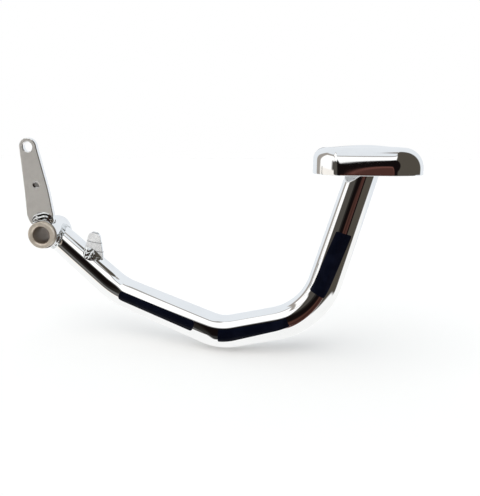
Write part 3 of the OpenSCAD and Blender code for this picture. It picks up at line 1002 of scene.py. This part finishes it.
class PEDAL_OT_beads(bpy.types.Operator):
    """Lay the weld beads at the boss, the lever, the ear and the pad"""
    bl_idname = "pedal.beads"
    bl_label = "Weld beads"

    def execute(self, context):
        scene = context.scene
        course = Course(scene.pedal_arm)
        for name, weld, shape in (
                ("bead_arm", "arm_weld", self.round_arm(scene.pedal_pivot, course)),
                ("bead_lever", "lever_weld",
                 self.on_lever(scene.pedal_pivot.boss_radius, scene.pedal_lever)),
                ("bead_ear", "tab_weld", self.at_ear(course)),
                ("bead_pad", "pad_weld", self.under_pad(course, scene.pedal_pad.sheet))):
            shape.make(name, finish("Bead_chrome"), "pedal", (weld,), slot="bead")
        return {'FINISHED'}

    def round_arm(self, pivot, course):
        """Round the tube's coped end, on the boss."""
        boss = pivot.boss_radius
        leg_tube, leg_boss, least_slope = 1.9 * MM, 1.7 * MM, 0.55
        nearest, farthest = pivot.boss_near + 0.8 * MM, pivot.boss_far - 0.55 * MM
        root, along = course.axis(0.0)
        sections = []
        for i in range(180):
            psi = math.tau * i / 180
            meet = reach_of_cylinder(course.skin(0.0, psi), along, boss)
            ripple = (0.10 * math.sin(17.0 * psi) + 0.07 * math.sin(29.0 * psi + 1.0)) * MM
            foot = course.skin(meet, psi)
            slope = along.dot(Vector((foot.x, 0.0, foot.z)).normalized())
            reach = (leg_tube + ripple) / max(least_slope, slope)
            outward = (foot - (root + along * meet)).normalized()
            slide = foot + outward * (leg_boss + ripple)
            slide.y = min(max(slide.y, nearest), farthest)
            deep = course.skin(meet - 0.1 * MM, psi, -0.6 * MM)
            sections.append(section(
                course.skin(meet + reach, psi, -TOE_SINK), on_cylinder(slide, boss - TOE_SINK),
                on_cylinder(deep, boss - 0.5 * MM), 0.18 * MM + ripple,
                lump=0.24 * MM, rolls=1.6, shift=0.3 * math.sin(5.0 * psi)))
        shape = Shape()
        lay_bead(shape, sections, True)
        return shape

    def on_lever(self, boss, lever):
        """Over the boss, on both faces of the lever."""
        shape = Shape()
        sink, low_edge, thin_end = 0.4 * MM, 0.3 * MM, 0.2 * MM
        for face, side, high, room, reach, lean in (
                (lever.near, -1.0, 5.7 * MM, 1.75 * MM, 43.0, 1.0),
                (lever.far, 1.0, 3.1 * MM, 2.2 * MM, 34.0, -9.0)):
            sections = []
            for i in range(61):
                t = i / 60.0
                a = math.radians(90.0 + lean + lerp(reach, -reach, t))
                full = math.sin(math.pi * t) ** 0.45 if 0 < i < 60 else 0.12
                ripple = 0.045 * MM * wave(6.0 * t)
                radial = Vector((math.cos(a), 0.0, math.sin(a)))
                toe_a = radial * (boss + low_edge + (high - low_edge) * full + ripple)
                toe_a.y = face - side * TOE_SINK
                toe_b = radial * (boss + 0.25 * MM)
                toe_b.y = face + side * (thin_end + (room - thin_end) * full)
                deep = radial * (boss - sink)
                deep.y = face - side * sink
                lump = (0.42 + 0.14 * wave(3.3 * t, 1.0) + 0.10 * wave(7.1 * t)) * MM
                sections.append(section(toe_a, toe_b, deep, (ripple - 0.1 * MM) * full,
                                        lump * full, 2.2, 0.20 * wave(1.7 * t, 0.6)))
            lay_bead(shape, sections, False)
        return shape

    def at_ear(self, course):
        """At the foot of the ear, down over the near side of the tube."""
        begin, end = 27.4 * MM, 40.2 * MM
        leg_ear, leg_tube, draw_in = 3.6 * MM, 7.0 * MM, 1.2 * MM
        sections = []
        for i in range(81):
            t = i / 80.0
            full = max(0.06, math.sin(math.pi * t) ** 0.5)
            s, psi = spot_at(course, lerp(begin, end, t), TAB_LOW.y)
            ripple = 0.06 * MM * wave(3.5 * t)
            toe_a = course.skin(s, psi) + Vector((0.0, TOE_SINK, (leg_ear + ripple) * full))
            down = (leg_tube * full + ripple) / course.radius(s)
            toe_b = course.skin(s + draw_in * (0.5 - t), psi - down, -TOE_SINK)
            deep = course.skin(s, psi + 0.02, -0.6 * MM)
            lump = (0.40 + 0.20 * wave(3.1 * t, 0.8) + 0.16 * wave(6.7 * t, 2.0)) * MM
            sections.append(section(toe_a, toe_b, deep, (0.35 * MM + ripple) * full,
                                    lump * full, 2.7, 0.35 * wave(2.3 * t)))
        shape = Shape()
        lay_bead(shape, sections, False)
        return shape

    def under_pad(self, course, sheet):
        """Round the tube, under the pad."""
        under = PAD_HIGH.z - sheet
        leg_tube, leg_pad, sink = 2.9 * MM, 2.6 * MM, 0.3 * MM
        top_s = course.length - END
        centre, up = course.axis(top_s)
        centre = centre + up * ((under - centre.z) / up.z)
        sections = []
        for i in range(144):
            psi = math.tau * i / 144
            ripple = 0.05 * MM * math.sin(18.0 * psi)
            edge = course.skin(top_s, psi)
            edge = edge + up * ((under - edge.z) / up.z)
            out = Vector((edge.x - centre.x, edge.y - centre.y, 0.0)).normalized()
            toe_b = edge + out * (leg_pad + ripple)
            toe_b.z = under - 0.35 * MM
            deep = edge - out * 0.5 * MM
            deep.z = under + sink
            loop = section(edge - up * (leg_tube + ripple), toe_b, deep,
                           -0.25 * MM + 0.4 * ripple)
            loop.insert(-1, Vector((toe_b.x, toe_b.y, under + sink)))
            sections.append(loop)
        shape = Shape()
        lay_bead(shape, sections, True)
        return shape


# The rear corner's three arcs: angles where each begins and ends, and its share of points.
REAR_ARCS = ((0.0, 40.0, 0.36), (40.0, 58.0, 0.28), (58.0, 90.0, 0.36))
NOSE_LONG = 1.5  # how much longer than wide the front corners are
PAD_LIP = 0.35 * MM  # height of the round on the rim of the sheet


class Pan:
    """One skin of the pressed pad, drawn in from its outer sides by a wall."""

    def __init__(self, sizes, wall):
        self.sizes = sizes
        self.wall = wall
        self.middle = (PAD_LOW + PAD_HIGH) / 2.0
        self.half = (PAD_HIGH - PAD_LOW) / 2.0
        self.top = PAD_HIGH.z - PAD_LOW.z - wall
        self.brow = self.top - sizes.crown
        self.hub = (self.middle.x - 1.0 * MM, self.middle.y, PAD_LOW.z + self.top)

    def drawn_in(self, z, over, high):
        """How far an edge stands in at a height, for an oval rounding up to the brow."""
        rise = max(0.0, z - self.brow + high) / high
        return self.wall + over * (1.0 - math.sqrt(max(0.0, 1.0 - rise * rise)))

    def rear_corner(self, rear, side, steps):
        """From the long side to the rear end in three arcs, the middle one nearly flat."""
        s = self.sizes
        radii = (s.rear_side - side, s.rear_mid - 0.5 * (rear + side), s.rear_end - rear)
        arcs = [(math.radians(a0), math.radians(a1), max(0.7 * MM, radius), round(part * steps))
                for (a0, a1, part), radius in zip(REAR_ARCS, radii)]
        wide = sum(r * (math.sin(a1) - math.sin(a0)) for a0, a1, r, _ in arcs)
        x, y = self.half.x - rear - wide, self.half.y - side
        points = [(x, y)]
        for a0, a1, r, count in arcs:
            for n in range(1, count + 1):
                a = lerp(a0, a1, n / count)
                points.append((x + r * (math.sin(a) - math.sin(a0)),
                               y - r * (math.cos(a0) - math.cos(a))))
            x, y = points[-1]
        return points

    def plan(self, rear, front, side, steps=28, fill=16):
        """One ring seen from above, with its ends and long sides drawn in."""
        s, half = self.sizes, self.half
        ry = max(1.0 * MM, s.corner - 0.5 * (front + side))
        rx = ry * NOSE_LONG
        power = 2.0 / s.front_flat
        nose = [(half.x - front - rx * (1.0 - math.cos(a) ** power),
                 half.y - side - ry * (1.0 - math.sin(a) ** power))
                for a in (0.5 * math.pi * n / steps for n in range(steps + 1))]
        heel = self.rear_corner(rear, side, steps)
        corners = [nose, [(-x, y) for x, y in heel], [(-x, -y) for x, y in reversed(heel)],
                   [(x, -y) for x, y in reversed(nose)]]
        row = []
        for part, after in zip(corners, corners[1:] + corners[:1]):
            row.extend(part)
            a, b = part[-1], after[0]
            row.extend((lerp(a[0], b[0], m / fill), lerp(a[1], b[1], m / fill))
                       for m in range(1, fill))
        slim = []
        for x, y in row:
            back = max(0.0, (half.x - s.corner - x) / (2.0 * half.x - s.corner))
            slim.append((x, y * (1.0 - s.taper * back ** 1.5 / half.y)))
        return slim

    def rows(self, rows_edge=26, rows_top=16):
        """Rows of points from the rim to the crown."""
        s, wall, brow = self.sizes, self.wall, self.brow
        rear_edge, front_edge = s.rear_edge - wall, s.front_edge - wall
        side_high = min(brow, s.side_high - wall)
        rows = []
        for k in range(rows_edge + 1):
            z = brow * math.sin(0.5 * math.pi * k / rows_edge)
            ring = self.plan(self.drawn_in(z, rear_edge, rear_edge),
                             self.drawn_in(z, front_edge, front_edge),
                             self.drawn_in(z, s.side_over - wall, side_high))
            rows.append([(self.middle.x + x, self.middle.y + y, PAD_LOW.z + z)
                         for x, y in ring])
        brink = rows[-1]
        for k in range(1, rows_top + 1):
            q = 1.0 - k / (rows_top + 0.5)
            rise = s.crown * (1.0 - (q * q * (2.0 - q * q)))
            rows.append([(lerp(self.hub[0], p[0], q), lerp(self.hub[1], p[1], q),
                          PAD_LOW.z + brow + rise) for p in brink])
        return rows


class PEDAL_OT_pad(bpy.types.Operator):
    """Press the crowned foot pad, open below"""
    bl_idname = "pedal.pad"
    bl_label = "Foot pad"

    def execute(self, context):
        sizes = context.scene.pedal_pad
        shape = Shape()
        outer, inner = Pan(sizes, 0.0), Pan(sizes, sizes.sheet)
        rims, skins = [], []
        for pan in (outer, inner):
            rows = pan.rows()
            rims.append(rows[0])
            rows[0] = [(x, y, z + PAD_LIP) for x, y, z in rows[0]]
            skins.append([shape.ring(row) for row in rows])
        rim = []
        for k in range(1, 8):
            a = math.pi * k / 8.0
            t = 0.5 - 0.5 * math.cos(a)
            height = PAD_LOW.z + PAD_LIP * (1.0 - math.sin(a) ** 0.6)
            rim.append(shape.ring([(lerp(o[0], n[0], t), lerp(o[1], n[1], t), height)
                                   for o, n in zip(*rims)]))
        shape.join_all(skins[1][::-1] + rim[::-1] + skins[0])
        shape.fan(skins[0][-1], outer.hub)
        shape.fan(skins[1][-1], inner.hub)
        shape.make("pad", finish("Pad_chrome"), "pedal", ("foot_pad",),
                   inside=[i for ring in skins[1] for i in ring] + [len(shape.points) - 1])
        return {'FINISHED'}


# Blank labels: distance along the tube in mm and the angles of both long sides at either
# end, in degrees from the near side upwards, then the corner radius in mm.
LABELS = (
    ("label_reach", (72.5, -15.0, 22.0), (132.5, -15.0, 25.0), 2.2),
    ("label_base", (149.5, -19.0, 27.0), (196.5, -5.0, 27.0), 0.6),
    ("label_rise", (225.0, -9.0, 49.0), (268.5, -27.0, 30.0), 1.2),
)
FILM_LOW, FILM_HIGH = -0.05 * MM, 0.08 * MM  # the film's two faces, from the tube's skin


class PEDAL_OT_labels(bpy.types.Operator):
    """Lay the three blank dark films on the tube"""
    bl_idname = "pedal.labels"
    bl_label = "Blank labels"

    def execute(self, context):
        course = Course(context.scene.pedal_arm)
        for name, begin, end, corner in LABELS:
            shape = Shape()
            self.wrap(shape, course, begin, end, corner * MM)
            shape.make(name, finish("Label_film"), "pedal", slot="label_film", hard=50)
        return {'FINISHED'}

    def wrap(self, shape, course, begin, end, corner, rows=24, columns=64):
        """A thin film between two places, each a distance and the angles of its two sides."""
        s0, s1 = begin[0] * MM, end[0] * MM
        wide = math.radians(begin[2] - begin[1]) * course.radius(s0)
        layers = []
        for lift in (FILM_LOW, FILM_HIGH):
            grid = []
            for i in range(rows + 1):
                t = 0.5 - 0.5 * math.cos(math.pi * i / rows)
                d = max(0.0, corner - min(t, 1.0 - t) * wide)
                draw = corner - math.sqrt(max(0.0, corner * corner - d * d))
                line = []
                for k in range(columns + 1):
                    u = k / columns
                    low, high = lerp(begin[1], end[1], u), lerp(begin[2], end[2], u)
                    line.append(course.skin(lerp(s0 + draw, s1 - draw, u),
                                            math.radians(lerp(low, high, t)), lift))
                grid.append(shape.ring(line))
            layers.append(grid)
        for grid in layers:
            shape.join_all(grid, closed=False)
        edges = [grid[0] + [row[-1] for row in grid[1:-1]] + grid[-1][::-1]
                 + [row[0] for row in grid[-2:0:-1]] for grid in layers]
        shape.join(*edges)


# Studio. The tent's zones lie each over the ones before it. A window has its left, right,
# low and high sides, an oval its middle and half widths, all in degrees; then its softness
# and colour. Azimuth 0 is the camera side and grows to the right; elevation grows upwards.

PALE_BLUE = (0.815, 0.85, 0.885)
WHITE_FLOOR = (0.97, 0.97, 0.96)
WHITE_CARD = (1.12, 1.12, 1.11)
SEAM = (0.30, 0.28, 0.26)
OLIVE = (0.080, 0.070, 0.056)
OLIVE_LEFT = (0.078, 0.071, 0.062)
NEAR_BLACK = (0.006, 0.004, 0.004)

TENT = (
    ("White floor", "Soft_window", (-181, 181, -91, -19), 10, WHITE_FLOOR),
    ("Seam of the flap", "Soft_window", (-93, 112, 14, 80), 3, SEAM),
    ("White flap", "Soft_window", (-86, 104, 14, 74), 3, WHITE_CARD),
    ("Seam over the flap", "Soft_window", (-15, 56, 61, 88), 3, SEAM),
    ("Pale over the flap", "Soft_window", (-15, 56, 65, 88), 3, PALE_BLUE),
    ("Seam on the left", "Soft_window", (-121, -58, -14, 45), 4, (0.36, 0.33, 0.30)),
    ("White on the left", "Soft_window", (-104, -60, -14, 38), 4, (1.12, 1.11, 1.09)),
    ("Right side, upper", "Soft_oval", (80, 20, 62, 55), 5, OLIVE),
    ("Right side", "Soft_window", (0, 84, -20, 24), 4, OLIVE),
    ("Right side, low", "Soft_window", (16, 84, -32, -10), 4, OLIVE),
    ("Pale right end, low", "Soft_window", (82, 178, -24, -9), 4, PALE_BLUE),
    ("Pale right end", "Soft_window", (106, 178, -12, 80), 6, PALE_BLUE),
    ("White floor, right", "Soft_window", (82, 178, -60, -19), 5, WHITE_FLOOR),
    ("Left side", "Soft_window", (-78, -20, -5, 18), 5, OLIVE_LEFT),
    ("Cream edge, low", "Soft_window", (-104, -44, -24, 3), 3, (0.97, 0.93, 0.87)),
    ("Left side, upper", "Soft_oval", (-30, 4, 42, 26), 5, OLIVE_LEFT),
    ("Grey floor edge", "Soft_window", (-48, -30, -16, -2), 8, (0.17, 0.17, 0.165)),
    ("Dark front", "Soft_oval", (-14, 2, 23, 40), 5, (0.020, 0.018, 0.016)),
    ("Dark front, lower", "Soft_window", (-33, -6, -44, 0), 6, (0.035, 0.034, 0.033)),
    ("Dark room", "Soft_window", (-28, 26, -19, 32), 5, NEAR_BLACK),
    ("Dark room, right", "Soft_oval", (17, 26, 17, 21), 3, NEAR_BLACK),
    ("Figure, low", "Soft_window", (-8, 12, -24, -1), 6, (0.075, 0.033, 0.025)),
    ("Figure, rim", "Soft_oval", (9.2, -6, 8.0, 31), 1, (0.150, 0.062, 0.050)),
    ("Figure", "Soft_oval", (9.2, -7, 7.2, 28), 1, (0.072, 0.030, 0.024)),
    ("Dark of the figure", "Soft_oval", (3, -14, 4, 13), 4, (0.040, 0.017, 0.013)),
)
WHITE = (1.0, 1.0, 1.0, 1.0)
FLOOR_GAP = 0.15 * MM  # room between the lowest point and the floor
FLOOR_LIFT = 0.15  # a little light of the floor's own, seen by the camera alone


class PEDAL_OT_studio(bpy.types.Operator):
    """Set the camera, the pale floor, the light tent and one soft lamp"""
    bl_idname = "pedal.studio"
    bl_label = "Studio"

    def execute(self, context):
        s = context.scene.pedal_studio
        self.camera(context, s)
        self.floor(context, s)
        self.tent(context)
        self.lamp(context, s)
        context.scene.view_settings.view_transform = 'Standard'
        return {'FINISHED'}

    def camera(self, context, s):
        data = bpy.data.cameras.new("Camera")
        data.lens = s.lens
        data.sensor_width = 36.0
        data.sensor_fit = 'AUTO'
        data.clip_start = 0.01
        camera = bpy.data.objects.new("Camera", data)
        camera.location = s.camera
        camera.rotation_euler = (math.pi / 2.0 - s.elevation, 0.0, s.azimuth)
        context.scene.collection.objects.link(camera)
        context.scene.camera = camera

    def floor(self, context, s):
        level = CAD_BOX[0].z - FLOOR_GAP
        mesh = bpy.data.meshes.new("floor")
        mesh.from_pydata([(x * s.reach, y * s.reach, level)
                          for x, y in ((-1, -1), (1, -1), (1, 1), (-1, 1))], [], [(0, 1, 2, 3)])
        floor = bpy.data.objects.new("floor", mesh)
        context.scene.collection.objects.link(floor)
        mat = bpy.data.materials.new("Pale_floor")
        mat.use_nodes = True
        tree = mat.node_tree
        skin = tree.nodes['Principled BSDF'].inputs
        skin['Base Color'].default_value = rgba(context.scene.pedal_finishes.floor)
        skin['Roughness'].default_value = 1.0
        skin['Specular IOR Level'].default_value = 0.0
        skin['Emission Color'].default_value = WHITE
        seen = node(tree, 'ShaderNodeLightPath').outputs['Is Camera Ray']
        feed(tree, skin['Emission Strength'], calc(tree, 'MULTIPLY', seen, FLOOR_LIFT))
        mesh.materials.append(mat)
        floor.visible_glossy = False

    def tent(self, context):
        """Colours what the chrome mirrors by its direction; the camera sees plain white."""
        world = bpy.data.worlds.new("Light_tent")
        context.scene.world = world
        world.use_nodes = True
        tree = world.node_tree
        tree.nodes.clear()
        way = split(tree, node(tree, 'ShaderNodeTexCoord').outputs['Generated'])
        front = calc(tree, 'MULTIPLY', way['Y'], -1.0)
        azimuth = calc(tree, 'DEGREES', calc(tree, 'ARCTAN2', way['X'], front))
        elevation = calc(tree, 'DEGREES', calc(tree, 'ARCSINE', way['Z']))
        paint = rgba(PALE_BLUE)
        for label, kind, sides, soft, tint in TENT:
            zone = group_node(tree, kind, azimuth, elevation, *sides, soft)
            zone.label = label
            paint = mix(tree, 'RGBA', zone.outputs['Mask'], paint, rgba(tint))
        tent = node(tree, 'ShaderNodeBackground')
        feed(tree, tent.inputs['Color'], paint)
        white = node(tree, 'ShaderNodeBackground')
        white.inputs['Color'].default_value = WHITE
        choose = node(tree, 'ShaderNodeMixShader')
        seen = node(tree, 'ShaderNodeLightPath').outputs['Is Camera Ray']
        for socket, value in zip(choose.inputs, (seen, tent.outputs[0], white.outputs[0])):
            feed(tree, socket, value)
        out = node(tree, 'ShaderNodeOutputWorld')
        feed(tree, out.inputs['Surface'], choose.outputs[0])

    def lamp(self, context, s):
        data = bpy.data.lights.new("Soft_lamp", 'SUN')
        data.energy = s.lamp_power
        data.angle = s.lamp_angle
        lamp = bpy.data.objects.new("Soft_lamp", data)
        lamp.location = s.lamp
        lamp.rotation_euler = (-lamp.location).to_track_quat('-Z', 'Y').to_euler()
        lamp.visible_glossy = False
        context.scene.collection.objects.link(lamp)


class PEDAL_PT_build(bpy.types.Panel):
    """Buttons for every piece"""
    bl_label = "Rear brake pedal"
    bl_idname = "PEDAL_PT_build"
    bl_space_type = 'VIEW_3D'
    bl_region_type = 'UI'
    bl_category = "Pedal"

    def draw(self, context):
        for step in STEPS:
            self.layout.operator(step.bl_idname)
        for key in SIZES:
            group = getattr(context.scene, key)
            box = self.layout.box()
            box.label(text=SIZES[key].__doc__)
            for name in group.bl_rna.properties.keys():
                if name not in ("rna_type", "name"):
                    box.prop(group, name)


SIZES = {"pedal_pivot": PivotSizes, "pedal_arm": ArmSizes, "pedal_lever": LeverSizes,
         "pedal_pad": PadSizes, "pedal_tab": TabSizes, "pedal_finishes": Finishes,
         "pedal_studio": StudioSizes}
STEPS = (PEDAL_OT_studio, PEDAL_OT_arm, PEDAL_OT_pivot, PEDAL_OT_lever, PEDAL_OT_tab,
         PEDAL_OT_beads, PEDAL_OT_pad, PEDAL_OT_labels)


def register():
    for group in SIZES.values():
        bpy.utils.register_class(group)
    for step in STEPS:
        bpy.utils.register_class(step)
    bpy.utils.register_class(PEDAL_PT_build)
    for key, group in SIZES.items():
        setattr(bpy.types.Scene, key, PointerProperty(type=group))


def unregister():
    for key in SIZES:
        delattr(bpy.types.Scene, key)
    bpy.utils.unregister_class(PEDAL_PT_build)
    for step in reversed(STEPS):
        bpy.utils.unregister_class(step)
    for group in reversed(list(SIZES.values())):
        bpy.utils.unregister_class(group)


def main():
    """Builds the whole pedal."""
    register()
    for step in STEPS:
        family, name = step.bl_idname.split(".")
        if getattr(getattr(bpy.ops, family), name)() != {'FINISHED'}:
            raise RuntimeError(f"{step.bl_idname} didn't finish")


if __name__ == "__main__":
    main()
